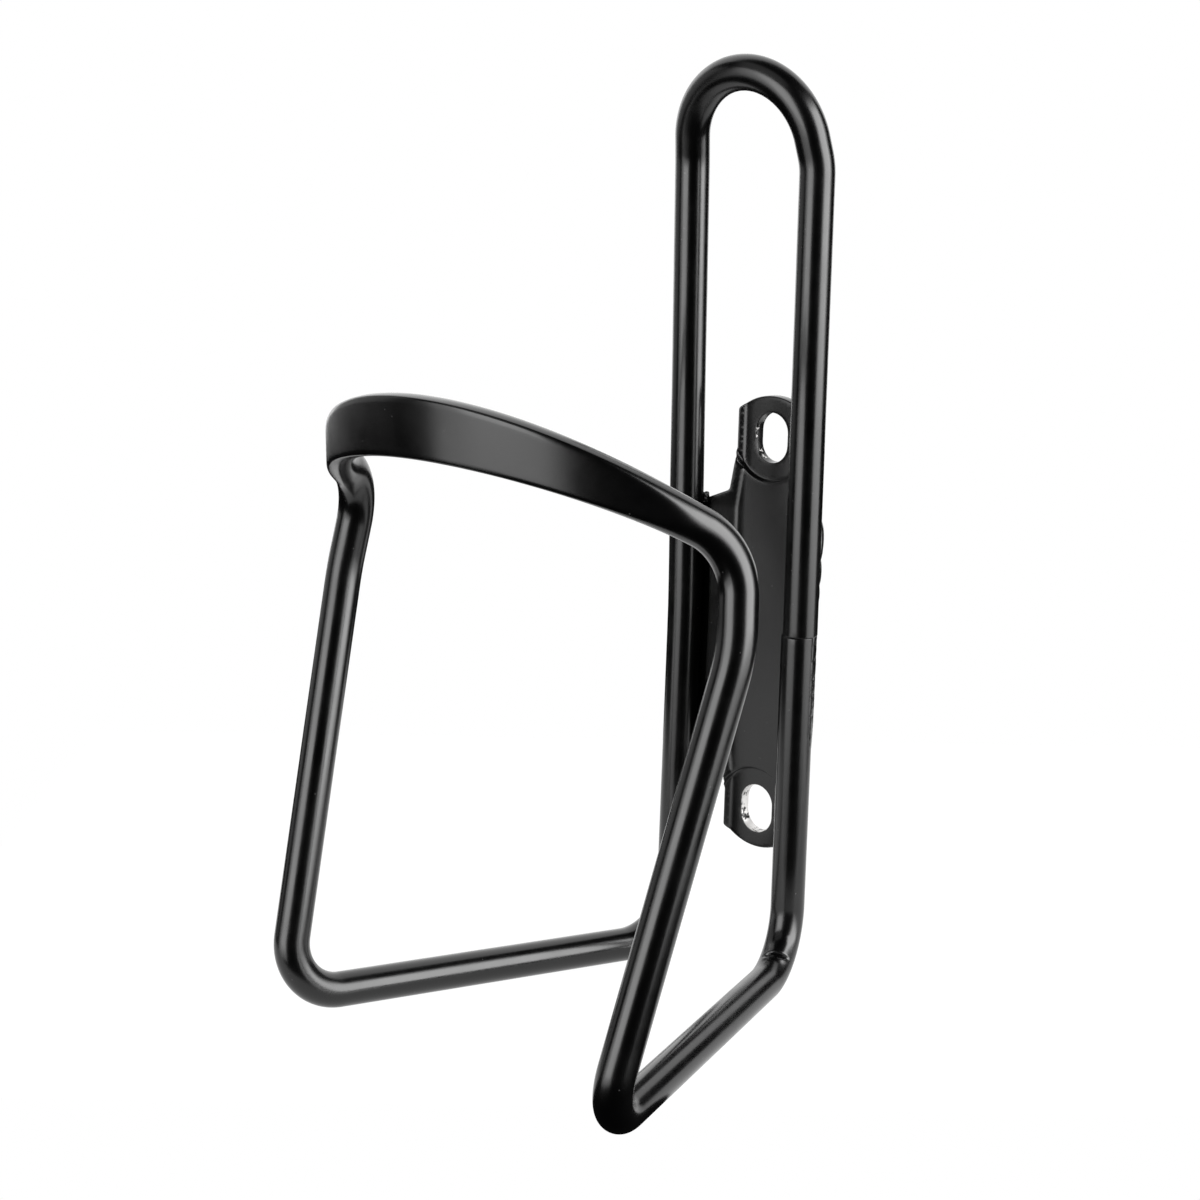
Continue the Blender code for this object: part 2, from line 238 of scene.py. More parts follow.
# Finishes: colours, roughness, the height of the paint's orange peel, and texture scales per metre.  Each
# pair of numbers is the range over which a speck, patch, flake or worn edge comes in or fades out.
PAINT_IOR = 1.5
BLACK = (0.0006, 0.0006, 0.00065, 1.0)
DUST = (0.045, 0.045, 0.045, 1.0)
BARE_METAL = (0.60, 0.59, 0.58, 1.0)
ROD_ROUGHNESS = 0.23
PLATE_ROUGHNESS = 0.22
BEAD_ROUGHNESS = 0.26
SHEEN_SPREAD = 0.05
ROD_PEEL = 0.005 * MM
PLATE_PEEL = 0.006 * MM
BEAD_PEEL = 0.01 * MM
PEEL_STRENGTH = 0.5
PEEL_SCALE = 1300.0
PATCH_SCALE = 110.0
PATCH_RANGE = (0.3, 0.7)
SPECK_SCALE = 700.0
SPECK_RADIUS = (0.05, 0.10)
SPECK_RANGE = (0.70, 0.75)
FLAKE_SCALE = 520.0
MANY_FLAKES = (0.42, 0.50)
FEW_FLAKES = (0.60, 0.64)
WORN_ROUGHER = 0.2
WEAR_FROM_WALL = (0.05 * MM, 0.14 * MM)

# Camera, and the middle of the object that the lights face
CAMERA_AZIMUTH = math.radians(40.72)
CAMERA_ELEVATION = math.radians(12.75)
CAMERA_ROLL = math.radians(0.87)
CAMERA_PLACE = Vector((206.3, -283.97, 83.0)) * MM
CAMERA_LENS = 63.98
CAMERA_SENSOR = 36.0
CAMERA_CLIP_START = 0.01
CENTRE = Vector((0.0, -40.0, 20.0)) * MM

# Floor sheet: its reach in metres from the object's middle, as the camera sees it
FLOOR_FRONT = 0.03
FLOOR_LEFT = 0.12
FLOOR_RIGHT = 0.16
FLOOR_BACK = 0.16
FLOOR_BASE = 0.05
FLOOR_ROUGHNESS = 0.9
FLOOR_GLOW = 0.98

# Lights: azimuth from the camera's side and elevation in degrees, distance, width and height in metres, and
# radiance.  The left and the right softbox are each a wide panel with a smaller core in front of it.
SOFTBOXES = (
    ("left edge", -53.0, 4.5, 1.32, 1.24, 1.22, 2.4),
    ("left core", -48.0, 8.0, 1.24, 0.72, 0.80, 3.2),
    ("left top", -52.0, 50.0, 1.36, 1.24, 0.70, 0.5),
    ("right edge", 67.0, 13.0, 1.32, 1.52, 1.58, 3.4),
    ("right core", 66.0, 16.0, 1.24, 0.95, 1.00, 5.6),
    ("back panel", 180.0, 32.0, 1.00, 2.00, 1.70, 1.5),
    ("back left", -124.0, 12.0, 0.95, 1.05, 0.70, 0.6),
)

# What the object mirrors where there is no light
WORLD_GREY = 0.006


# --- small helpers ----------------------------------------------------------------------------------


def smooth_step(t):
    t = min(max(t, 0.0), 1.0)
    return t * t * (3.0 - 2.0 * t)


def soft_ramp(t, width):
    """Zero below zero, then t, with the corner rounded over the given width."""
    return 0.5 * (t + math.sqrt(t * t + width * width)) - 0.5 * width * math.exp(-abs(t) / width)


def bump(t, width):
    return math.exp(-((t / width) ** 2))


def make_object(name, points, faces, sharp_angle):
    mesh = bpy.data.meshes.new(name)
    mesh.from_pydata([tuple(p) for p in points], [], faces)
    edit = bmesh.new()
    edit.from_mesh(mesh)
    bmesh.ops.recalc_face_normals(edit, faces=edit.faces)
    edit.to_mesh(mesh)
    edit.free()
    mesh.shade_smooth()
    mesh.set_sharp_from_angle(angle=sharp_angle)
    item = bpy.data.objects.new(name, mesh)
    bpy.context.scene.collection.objects.link(item)
    return item


def tube_faces(rows, sides):
    """Faces of a closed tube made of rows of points, with a flat cap at each end."""
    faces = []
    for row in range(rows - 1):
        first = row * sides
        for k in range(sides):
            after = (k + 1) % sides
            faces.append((first + k, first + after, first + sides + after, first + sides + k))
    faces.append(tuple(range(sides)))
    faces.append(tuple(range((rows - 1) * sides, rows * sides)))
    return faces


# --- the rod's path ---------------------------------------------------------------------------------


def bend(before, corner, after, radius):
    """Points of the arc that rounds one corner of the path."""
    back = (before - corner).normalized()
    ahead = (after - corner).normalized()
    inner = back.angle(ahead)
    setback = radius / math.tan(inner / 2.0)
    centre = corner + (back + ahead).normalized() * (radius / math.sin(inner / 2.0))
    start = corner + back * setback - centre
    axis = start.cross(corner + ahead * setback - centre).normalized()
    turn = math.pi - inner
    steps = max(2, math.ceil(turn / BEND_STEP))
    side = axis.cross(start)
    arc = []
    for k in range(steps + 1):
        angle = turn * k / steps
        arc.append(centre + start * math.cos(angle) + side * math.sin(angle))
    return arc


def round_corners(start, corners, end):
    """Points of a path from start to end with each (corner, radius) between them rounded."""
    stops = [start] + [corner for corner, radius in corners] + [end]
    points = []
    for k, (corner, radius) in enumerate(corners):
        points += bend(stops[k], corner, stops[k + 2], radius)
    return points


def tangent_angle(foot, centre, up, radius):
    """Angle from up, about centre, at which a straight line from foot meets the arc."""
    rise = (foot - centre).dot(up)
    return math.atan2(abs(foot.x), rise) - math.acos(radius / math.hypot(foot.x, rise))


def arc_points(centre, up, radius, first, last):
    """Arc in the plane of up and the X axis; angles run from up towards +X."""
    steps = math.ceil(abs(last - first) / BEND_STEP)
    arc = []
    for k in range(steps + 1):
        angle = first + (last - first) * k / steps
        across = Vector((math.sin(angle), 0.0, 0.0))
        arc.append(centre + (across + up * math.cos(angle)) * radius)
    return arc


def upright_x(z):
    """Distance of an upright's centre line from the middle at a height."""
    foot = RIGHT_CORNERS[0][0]
    return foot.x + (KINK.x - foot.x) * (z - foot.z) / (KINK.z - foot.z)


def rod_path():
    """Centre line from the lower side of the butt joint, round the cage, to its upper side."""
    hoop_up = Vector((0.0, -math.cos(HOOP_TILT), math.sin(HOOP_TILT)))
    hoop_centre = HOOP_FRONT - hoop_up * HOOP_R
    right_end = tangent_angle(RIGHT_CORNERS[-1][0], hoop_centre, hoop_up, HOOP_R)
    left_end = tangent_angle(LEFT_CORNERS[0][0], hoop_centre, hoop_up, HOOP_R)
    right_hoop = arc_points(hoop_centre, hoop_up, HOOP_R, right_end, 0.0)
    left_hoop = arc_points(hoop_centre, hoop_up, HOOP_R, 0.0, LEFT_HOOP_TRIM - left_end)

    loop_up = Vector((0.0, -math.sin(LOOP_TILT), math.cos(LOOP_TILT)))
    loop_centre = Vector((0.0, KINK.y, KINK.z)) + loop_up * LOOP_RISE
    loop_end = tangent_angle(KINK, loop_centre, loop_up, LOOP_R)
    loop = arc_points(loop_centre, loop_up, LOOP_R, -loop_end, loop_end)

    lower_end = Vector((upright_x(SEAM_Z), UPRIGHT_Y, SEAM_Z - SEAM_GAP / 2.0))
    upper_end = Vector((upright_x(SEAM_Z) + SEAM_OFFSET, UPRIGHT_Y, SEAM_Z + SEAM_GAP / 2.0))
    left_kink = (Vector((-KINK.x, KINK.y, KINK.z)), KINK_R)
    right_side = round_corners(lower_end, RIGHT_CORNERS, right_hoop[0])
    left_side = round_corners(left_hoop[-1], LEFT_CORNERS + (left_kink,), loop[0])
    right_kink = round_corners(loop[-1], ((KINK, KINK_R),), upper_end)
    path = [lower_end] + right_side + right_hoop[1:] + left_hoop[1:-1] + left_side + loop[1:-1]
    return path + right_kink + [upper_end]


def fill_path(path, fine_place):
    """Add points along the straight stretches, more near one place, and drop repeated ones."""
    filled = [path[0]]
    for point in path[1:]:
        gap = (point - filled[-1]).length
        if gap < SAME_PLACE:
            continue
        start = filled[-1]
        spacing = FINE_STEP if (point - fine_place).length < FINE_REACH else STATION_STEP
        steps = max(1, math.ceil(gap / spacing))
        filled += [start.lerp(point, k / steps) for k in range(1, steps + 1)]
    return filled


def add_chamfer_stations(path):
    """Close stations at both ends of the rod, for the chamfers at the butt joint."""
    first = (path[1] - path[0]).normalized()
    last = (path[-2] - path[-1]).normalized()
    steps = [SEAM_CHAMFER * k / CHAMFER_STATIONS for k in range(1, CHAMFER_STATIONS + 1)]
    start = [path[0] + first * s for s in steps]
    end = [path[-1] + last * s for s in reversed(steps)]
    return [path[0]] + start + path[1:-1] + end + [path[-1]]


def tangents(path):
    directions = [(b - a).normalized() for a, b in zip(path, path[1:])]
    joined = [(a + b).normalized() for a, b in zip(directions, directions[1:])]
    return [directions[0]] + joined + [directions[-1]]


def carry(direction, old_tangent, new_tangent):
    """Turn a cross direction along with the path, without twisting it."""
    turned = old_tangent.rotation_difference(new_tangent) @ direction
    return (turned - new_tangent * turned.dot(new_tangent)).normalized()


def cross_directions(along, from_middle):
    """Direction of the rod's height: up the bottle on the pressed band, and carried on beyond it."""
    upward = Vector((0.0, math.sin(BAND_LEAN), math.cos(BAND_LEAN)))
    band = [k for k, length in enumerate(from_middle) if abs(length) <= BAND_HALF_LENGTH]
    directions = [None] * len(along)
    for k in band:
        directions[k] = (upward - along[k] * upward.dot(along[k])).normalized()
    for k in range(band[-1] + 1, len(along)):
        directions[k] = carry(directions[k - 1], along[k - 1], along[k])
    for k in range(band[0] - 1, -1, -1):
        directions[k] = carry(directions[k + 1], along[k + 1], along[k])
    return directions


def half_height(distance):
    """Half the rod's height at a distance from the middle of the pressed band."""
    share = max(0.0, 1.0 - (distance / BAND_HALF_LENGTH) ** 2)
    return ROD_R + (BAND_HEIGHT / 2.0 - ROD_R) * share**BAND_TAPER


def flat_depth(tall):
    """Half thickness between the pressed flats; the rod's sectional area stays the same."""
    area = math.pi * ROD_R**2
    thin, thick = THINNEST * tall, tall
    for _ in range(HALVINGS):
        middle = (thin + thick) / 2.0
        cut = 2.0 * (middle * math.sqrt(tall**2 - middle**2) + tall**2 * math.asin(middle / tall))
        if cut > area:
            thick = middle
        else:
            thin = middle
    return thick


def section_point(tall, thin, angle):
    """Point of a circle cut by two flats; the corners between them are crisp where it is pressed most."""
    power = SOFT_CORNER + (CRISP_CORNER - SOFT_CORNER) * smooth_step((tall / thin - 1.0) / 2.0)
    rise, run = tall * math.sin(angle), thin * math.cos(angle)
    length = math.hypot(rise, run)
    flat = thin * (1.0 + FLAT_FADE * (thin / tall) ** 8) * length / max(abs(run), 1e-12)
    reach = (tall**-power + flat**-power) ** (-1.0 / power)
    return run * reach / length, rise * reach / length


# --- the rod ----------------------------------------------------------------------------------------


def end_chamfer(from_end, angle):
    """How far the surface draws in near the butt joint, unevenly round the rod."""
    wave = math.sin(2.0 * angle + CHAMFER_PHASE) ** 2
    width = SEAM_CHAMFER * (CHAMFER_LEAST + (1.0 - CHAMFER_LEAST) * wave)
    share = min(max(1.0 - from_end / width, 0.0), 1.0)
    return width * (1.0 - math.sqrt(1.0 - share * share))


def find_crease():
    """Centre, direction along and inner side of the rod where the right rear bend has creased."""
    start = Vector((upright_x(SEAM_Z), UPRIGHT_Y, SEAM_Z))
    corner, radius = RIGHT_CORNERS[0]
    arc = bend(start, corner, RIGHT_CORNERS[1][0], radius)
    k = min(range(1, len(arc) - 1), key=lambda j: abs(j * BEND_STEP - CREASE_TURN))
    before, place, after = arc[k - 1], arc[k], arc[k + 1]
    return place, (after - before).normalized(), (before + after - place * 2.0).normalized()


def pinch_height(point, crease):
    """Height of the pinched crease over the smooth bend: a sharp fold between two raised lips."""
    place, along, inner = crease
    away = point - place
    if away.length > CREASE_REACH:
        return 0.0
    run = away.dot(along) / MM
    radial = away - along * away.dot(along)
    turn = math.degrees(radial.angle(inner))
    side = 1.0 if radial.cross(inner).dot(along) > 0.0 else -1.0
    turn = side * turn - CREASE_CENTRE
    run += CREASE_SLANT * turn + CREASE_WAVER * noise.noise(point * CREASE_WAVER_SCALE)
    if run < LONG_LIP_END:
        lip = LONG_LIP_HEIGHT * smooth_step((run + LONG_LIP_REACH) / LONG_LIP_SPAN)
    else:
        lip = SHORT_LIP_HEIGHT * bump(run - SHORT_LIP_AT, SHORT_LIP_WIDTH)
    fold = lip - CREASE_DEPTH * bump(run - CREASE_AT, CREASE_WIDTH)
    return fold * math.exp(-((turn / CREASE_SPAN) ** 4)) * MM


def make_rod():
    crease = find_crease()
    path = add_chamfer_stations(fill_path(rod_path(), crease[0]))
    along = tangents(path)
    front = min(range(len(path)), key=lambda k: (path[k] - HOOP_FRONT).length)
    lengths = [0.0]
    for a, b in zip(path, path[1:]):
        lengths.append(lengths[-1] + (b - a).length)
    from_middle = [length - lengths[front] - BAND_SHIFT for length in lengths]
    heights = cross_directions(along, from_middle)
    points = []
    for centre, tangent, height, length, reach in zip(path, along, heights, lengths, from_middle):
        across = tangent.cross(height)
        tall = half_height(reach)
        thin = flat_depth(tall)
        from_end = min(length, lengths[-1] - length)
        for k in range(ROD_SIDES):
            angle = math.tau * (k + 0.5) / ROD_SIDES
            inset = end_chamfer(from_end, angle)
            x, y = section_point(tall - inset, thin - inset, angle)
            point = centre + across * x + height * y
            outward = (point - centre).normalized()
            points.append(point + outward * pinch_height(point, crease))
    return make_object("painted_rod", points, tube_faces(len(path), ROD_SIDES), ROD_SHARP_ANGLE)


# --- the mounting plate -----------------------------------------------------------------------------


def fold_x(z):
    """Where the web ends and the flange starts, across the plate."""
    share = (abs(z) - FOLD_WIDE_Z) / (FOLD_NARROW_Z - FOLD_WIDE_Z)
    return FOLD_HALF_WIDTH + (FOLD_NARROW - FOLD_HALF_WIDTH) * min(max(share, 0.0), 1.0)


def plate_front(x, z):
    """Depth of the plate's front face: pads at both ends, a raised web between them, folded edges."""
    from_slot = math.hypot(x, abs(z) - SLOT_Z)
    on_web = smooth_step((from_slot - PAD_R) / STEP_WIDTH) if abs(z) < SLOT_Z else 0.0
    web = soft_ramp(abs(x) - fold_x(z), FOLD_SOFTNESS) * FLANGE_SLOPE
    lip = soft_ramp(abs(x) - LIP_START, LIP_SOFTNESS) * LIP_SLOPE
    return -SHEET - on_web * (WEB_STEP + web) - (1.0 - on_web) * lip


def plate_outline():
    """Outline seen from the front, one quarter mirrored twice."""
    rise = PLATE_HALF_HEIGHT - TAB_SHOULDER_Z
    end_r = (TAB_HALF_WIDTH**2 + rise**2) / (2.0 * rise)
    widest = math.asin(TAB_HALF_WIDTH / end_r)
    quarter = [(upright_x(0.0) - FLANGE_REACH, 0.0)]
    quarter.append((upright_x(FLANGE_Z) - FLANGE_REACH, FLANGE_Z))
    quarter.append((NOTCH_HALF_WIDTH, NOTCH_Z))
    quarter.append((WAIST_HALF_WIDTH, WAIST_Z))
    quarter.append((TAB_HALF_WIDTH, TAB_ROOT_Z))
    for k in range(TAB_STEPS + 1):
        angle = widest * (1.0 - k / TAB_STEPS)
        quarter.append((end_r * math.sin(angle), PLATE_HALF_HEIGHT - end_r * (1.0 - math.cos(angle))))
    upper = quarter + [(-x, z) for x, z in reversed(quarter[:-1])]
    lower = [(x, -z) for x, z in reversed(upper[1:-1])]
    return upper + lower


def slot_outline(z):
    """A slot with round ends, its centre at a height."""
    straight = (SLOT_LENGTH - SLOT_WIDTH) / 2.0
    outline = []
    for side in (1.0, -1.0):
        for k in range(SLOT_STEPS + 1):
            angle = math.pi * k / SLOT_STEPS + (0.0 if side > 0 else math.pi)
            x = SLOT_WIDTH / 2.0 * math.cos(angle)
            outline.append((x, z + side * straight + SLOT_WIDTH / 2.0 * math.sin(angle)))
    return outline


def round_outline(outline, radius):
    """The outline with every corner rounded and points no further apart than OUTLINE_STEP."""
    flat = [Vector((x, z, 0.0)) for x, z in outline]
    count = len(flat)
    rounded = []
    for k in range(count):
        before, corner, after = flat[k - 1], flat[k], flat[(k + 1) % count]
        turn = math.pi - (before - corner).angle(after - corner)
        reach = CORNER_SHARE * min((before - corner).length, (after - corner).length)
        fitted = min(radius, reach / math.tan(turn / 2.0)) if turn > STRAIGHT_TURN else 0.0
        if fitted < SMALLEST_CORNER:
            rounded.append(corner)
        else:
            setback = fitted * math.tan(turn / 2.0)
            start = corner + (before - corner).normalized() * setback
            end = corner + (after - corner).normalized() * setback
            steps = max(2, math.ceil(turn / CORNER_STEP))
            for j in range(steps + 1):
                t = j / steps
                rounded.append(start * (1 - t) ** 2 + corner * 2 * t * (1 - t) + end * t * t)
    filled = []
    for a, b in zip(rounded, rounded[1:] + rounded[:1]):
        steps = max(1, math.ceil((b - a).length / OUTLINE_STEP))
        filled += [a.lerp(b, j / steps) for j in range(steps)]
    return [(p.x, p.y) for p in filled]


def offset_loop(loop, inward):
    """The loop moved by a small distance towards the metal; the loop runs anticlockwise round it."""
    moved = []
    count = len(loop)
    for k in range(count):
        ax, az = loop[k - 1]
        bx, bz = loop[(k + 1) % count]
        length = math.hypot(bx - ax, bz - az)
        x, z = loop[k]
        moved.append((x - inward * (bz - az) / length, z + inward * (bx - ax) / length))
    return moved


def signed_area(loop):
    return 0.5 * sum(a[0] * b[1] - b[0] * a[1] for a, b in zip(loop, loop[1:] + loop[:1]))


def inside(loop, x, z):
    hit = False
    for (ax, az), (bx, bz) in zip(loop, loop[1:] + loop[:1]):
        if (az > z) != (bz > z) and x < ax + (z - az) * (bx - ax) / (bz - az):
            hit = not hit
    return hit


def distance_to(loop, x, z):
    return min(math.hypot(x - px, z - pz) for px, pz in loop)


def back_depth(x, z):
    """Depth of the back face; the flanges keep the sheet's thickness, the pads' lips are coined thin."""
    on_flange = smooth_step((abs(x) - fold_x(z)) / FOLD_BLEND)
    on_flange *= smooth_step((math.hypot(x, abs(z) - SLOT_Z) - PAD_R) / FOLD_BLEND)
    stretch = math.hypot(1.0, FLANGE_SLOPE) - 1.0
    return plate_front(x, z) + SHEET * (1.0 + stretch * on_flange)


def plate_loops():
    """Each edge of the plate with its rim's radius: the outline runs anticlockwise, the slots clockwise."""
    outer = round_outline(plate_outline(), OUTLINE_CORNER_R)
    if signed_area(outer) < 0.0:
        outer.reverse()
    loops = [(outer, RIM_R)]
    for z in (SLOT_Z, -SLOT_Z):
        slot = slot_outline(z)
        if signed_area(slot) > 0.0:
            slot.reverse()
        loops.append((slot, SLOT_RIM_R))
    return loops


def rim_ring(loop, rim, share, depth, way):
    """One ring of points round a rounded edge; share runs from 0 at the wall to 1 on the face."""
    angle = 0.5 * math.pi * share
    inset = rim * (1.0 - math.sin(angle))
    drop = rim * (1.0 - math.cos(angle))
    return [(x, depth(x, z) + way * drop, z) for x, z in offset_loop(loop, inset)]


def in_metal(loops, x, z, clearance):
    """Whether a place on the sheet is inside the outline, outside the slots and clear of them all."""
    if not inside(loops[0], x, z) or any(inside(loop, x, z) for loop in loops[1:]):
        return False
    return min(distance_to(loop, x, z) for loop in loops) > clearance


def step_points(loops):
    """Rings of places along the two steps between the pads and the web."""
    places = []
    for side in (1.0, -1.0):
        for ring in range(STEP_RINGS):
            reach = PAD_R - STEP_MARGIN + (STEP_WIDTH + 2.0 * STEP_MARGIN) * ring / (STEP_RINGS - 1)
            for k in range(STEP_POINTS):
                turn = math.pi * (k + 0.5 * (ring % 2)) / STEP_POINTS
                x, z = reach * math.cos(turn), side * (SLOT_Z - reach * math.sin(turn))
                if in_metal(loops, x, z, RING_CLEARANCE):
                    places.append((x, z))
    return places


def grid_points(loops):
    """An even grid of places over the rest of the sheet."""
    places = []
    z = -PLATE_HALF_HEIGHT
    row = 0
    while z < PLATE_HALF_HEIGHT:
        x = -upright_x(0.0) + (row % 2) * GRID_STEP / 2.0
        while x < upright_x(0.0):
            from_step = math.hypot(x, abs(z) - SLOT_Z) - PAD_R
            on_step = -GRID_CLEARANCE < from_step < STEP_WIDTH + GRID_CLEARANCE and abs(z) < SLOT_Z
            if not on_step and in_metal(loops, x, z, GRID_CLEARANCE):
                places.append((x, z))
            x += GRID_STEP
        z += GRID_STEP * ROW_SHARE
        row += 1
    return places


def make_rims(points, faces):
    """Add the rounded edges, and return each one's first ring, last ring and number of points."""
    rims = []
    shares = [k / RIM_STEPS for k in range(RIM_STEPS + 1)]
    for loop, rim in plate_loops():
        rings = [rim_ring(loop, rim, share, plate_front, 1.0) for share in shares]
        rings += [rim_ring(loop, rim, share, back_depth, -1.0) for share in reversed(shares)]
        count = len(loop)
        base = len(points)
        for ring in rings:
            points += ring
        for r in range(len(rings) - 1):
            for k in range(count):
                a = base + r * count + k
                b = base + r * count + (k + 1) % count
                faces.append((a, b, b + count, a + count))
        rims.append((base, base + (len(rings) - 1) * count, count))
    return rims


def make_plate():
    points = []
    faces = []
    rims = make_rims(points, faces)
    loops = []
    for first, last, count in rims:
        loops.append([(x, z) for x, y, z in points[first:first + count]])
    flat = []
    edges = []
    for loop in loops:
        start = len(flat)
        flat += loop
        edges += [(start + k, start + (k + 1) % len(loop)) for k in range(len(loop))]
    border = len(flat)
    flat += step_points(loops) + grid_points(loops)
    places = [Vector(p) for p in flat]
    made, _, triangles, origins, _, _ = delaunay_2d_cdt(places, edges, [], 0, SAME_POINT)
    source = [min(o) for o in origins]
    for on_back in (False, True):
        depth_at = back_depth if on_back else plate_front
        border_index = []
        for first, last, count in rims:
            border_index += [(last if on_back else first) + k for k in range(count)]
        index = []
        for k, place in enumerate(made):
            if source[k] < border:
                index.append(border_index[source[k]])
            else:
                index.append(len(points))
                points.append((place.x, depth_at(place.x, place.y), place.y))
        for triangle in triangles:
            cx = sum(made[k].x for k in triangle) / 3.0
            cz = sum(made[k].y for k in triangle) / 3.0
            if in_metal(loops, cx, cz, 0.0):
                faces.append(tuple(index[k] for k in triangle))
    cos, sin = math.cos(PLATE_TURN), math.sin(PLATE_TURN)
    points = [(x * cos + z * sin, y, z * cos - x * sin) for x, y, z in points]
    return make_object("painted_plate", points, faces, SHARP_ANGLE)


# --- the weld beads ---------------------------------------------------------------------------------


def bead_rise(z, lobes):
    """How far a bead stands proud of the rod at a height, from its (bottom, rise) lobes."""
    top = BEAD_TOP
    for bottom, rise in lobes:
        if z >= bottom * MM:
            within = (top - z) / (top - bottom * MM)
            crest = math.sin(math.pi * min(max(within, 0.0), 1.0)) ** LOBE_ROUNDNESS
            dip = BEAD_DIP if rise > BEAD_FLAT_RISE else BEAD_FLAT_DIP
            return rise * (dip + (1.0 - dip) * crest) * MM
        top = bottom * MM
    return 0.0


def make_bead(name, side, lobes):
    """A hand-laid bead of overlapping scales, in the corner between the rod and the plate's edge."""
    bottom = lobes[-1][0] * MM
    points = []
    for row in range(BEAD_ROWS + 1):
        share = row / BEAD_ROWS
        z = BEAD_TOP + (bottom - BEAD_TOP) * share
        ends = math.sqrt(max(0.0, 1.0 - abs(2.0 * share - 1.0) ** BEAD_END_SHARPNESS))
        rise = bead_rise(z, lobes) * ends
        wander = BEAD_WANDER * noise.noise(Vector((side * 3.0, z * BEAD_WANDER_SCALE, 0.0)))
        wrap = smooth_step((z - BEAD_WRAP_Z) / BEAD_WRAP)
        start = BEAD_LOW + (BEAD_HIGH - BEAD_LOW) * wrap + wander
        outer = []
        inner = []
        for k in range(BEAD_PROFILE):
            turn = start + (BEAD_END - start) * k / (BEAD_PROFILE - 1)
            angle = math.radians(turn)
            swell = min(1.0, max(0.0, (turn - start) / BEAD_EDGE)) ** 0.5
            to_plate = smooth_step((turn - BEAD_PLATE_FROM) / BEAD_PLATE_SPAN) * BEAD_PLATE_REACH
            grain = BEAD_GRAIN * noise.noise(Vector((angle * 4.0, z * BEAD_GRAIN_SCALE, side * 5.0)))
            outer.append((angle, ROD_R - BEAD_BURIED + to_plate * ends + (rise + grain) * swell))
            inner.append((angle, ROD_R - BEAD_ROOT))
        for angle, distance in outer + inner[::-1]:
            x = upright_x(z) + distance * math.cos(angle)
            points.append((side * x, UPRIGHT_Y + distance * math.sin(angle), z))
    return make_object(name, points, tube_faces(BEAD_ROWS + 1, 2 * BEAD_PROFILE), SHARP_ANGLE)


def make_weld_end(name):
    """The drop of weld metal where the left bead starts, in the corner above the flange."""
    edit = bmesh.new()
    bmesh.ops.create_icosphere(edit, subdivisions=4, radius=1.0)
    right, back, up = WELD_END_OFFSET
    place = Vector((right - upright_x(FLANGE_Z), UPRIGHT_Y + back, FLANGE_Z + up))
    for vert in edit.verts:
        sample = vert.co * WELD_END_LUMP_SCALE + WELD_END_LUMP_PLACE
        lump = 1.0 + WELD_END_LUMPS * noise.noise(sample)
        across, deep, high = (radius * share for radius, share in zip(WELD_END_RADII, vert.co))
        vert.co = place + Vector((across, deep, high)) * lump * MM
    mesh = bpy.data.meshes.new(name)
    edit.to_mesh(mesh)
    edit.free()
    mesh.shade_smooth()
    item = bpy.data.objects.new(name, mesh)
    bpy.context.scene.collection.objects.link(item)
    return item


# --- materials --------------------------------------------------------------------------------------


def node(tree, kind, **values):
    item = tree.nodes.new(kind)
    for key, value in values.items():
        if key in item.inputs:
            item.inputs[key].default_value = value
        else:
            setattr(item, key, value)
    return item


def ranged(tree, value, before, after):
    """Map a value from one range to another."""
    item = node(tree, "ShaderNodeMapRange")
    for key, number in zip(("From Min", "From Max", "To Min", "To Max"), before + after):
        item.inputs[key].default_value = number
    tree.links.new(value, item.inputs["Value"])
    return item.outputs["Result"]


def maths(tree, operation, first, second=0.0):
    item = node(tree, "ShaderNodeMath", operation=operation)
    for socket, value in zip(item.inputs, (first, second)):
        if isinstance(value, float):
            socket.default_value = value
        else:
            tree.links.new(value, socket)
    return item.outputs["Value"]


def mixed(tree, factor, first, second):
    """Blend two colours, or a colour into the one already made."""
    item = node(tree, "ShaderNodeMix", data_type="RGBA")
    tree.links.new(factor, item.inputs["Factor"])
    for key, value in (("A", first), ("B", second)):
        if isinstance(value, tuple):
            item.inputs[key].default_value = value
        else:
            tree.links.new(value, item.inputs[key])
    return item.outputs["Result"]


def texture(tree, place, kind, **values):
    item = node(tree, kind, **values)
    tree.links.new(place, item.inputs["Vector"])
    return item


def paint(name, roughness, peel_height):
    """Satin black paint: fine orange peel, patches of different sheen and a little dust."""
    material = bpy.data.materials.new(name)
    material.use_nodes = True
    tree = material.node_tree
    shader = tree.nodes["Principled BSDF"]
    shader.inputs["IOR"].default_value = PAINT_IOR
    place = node(tree, "ShaderNodeTexCoord").outputs["Object"]
    peel = texture(tree, place, "ShaderNodeTexNoise", Scale=PEEL_SCALE, Detail=2.0)
    patches = texture(tree, place, "ShaderNodeTexNoise", Scale=PATCH_SCALE, Detail=5.0, Roughness=0.6)
    specks = texture(tree, place, "ShaderNodeTexVoronoi", Scale=SPECK_SCALE)

    dot = ranged(tree, specks.outputs["Distance"], SPECK_RADIUS, (1.0, 0.0))
    rare = ranged(tree, specks.outputs["Color"], SPECK_RANGE, (0.0, 1.0))
    dust = maths(tree, "MULTIPLY", dot, rare)
    colour = mixed(tree, dust, BLACK, DUST)
    tree.links.new(colour, shader.inputs["Base Color"])
    sheens = (roughness - SHEEN_SPREAD, roughness + SHEEN_SPREAD)
    sheen = ranged(tree, patches.outputs["Fac"], PATCH_RANGE, sheens)
    tree.links.new(sheen, shader.inputs["Roughness"])
    relief = node(tree, "ShaderNodeBump", Strength=PEEL_STRENGTH, Distance=peel_height)
    tree.links.new(peel.outputs["Fac"], relief.inputs["Height"])
    tree.links.new(relief.outputs["Normal"], shader.inputs["Normal"])
    return material


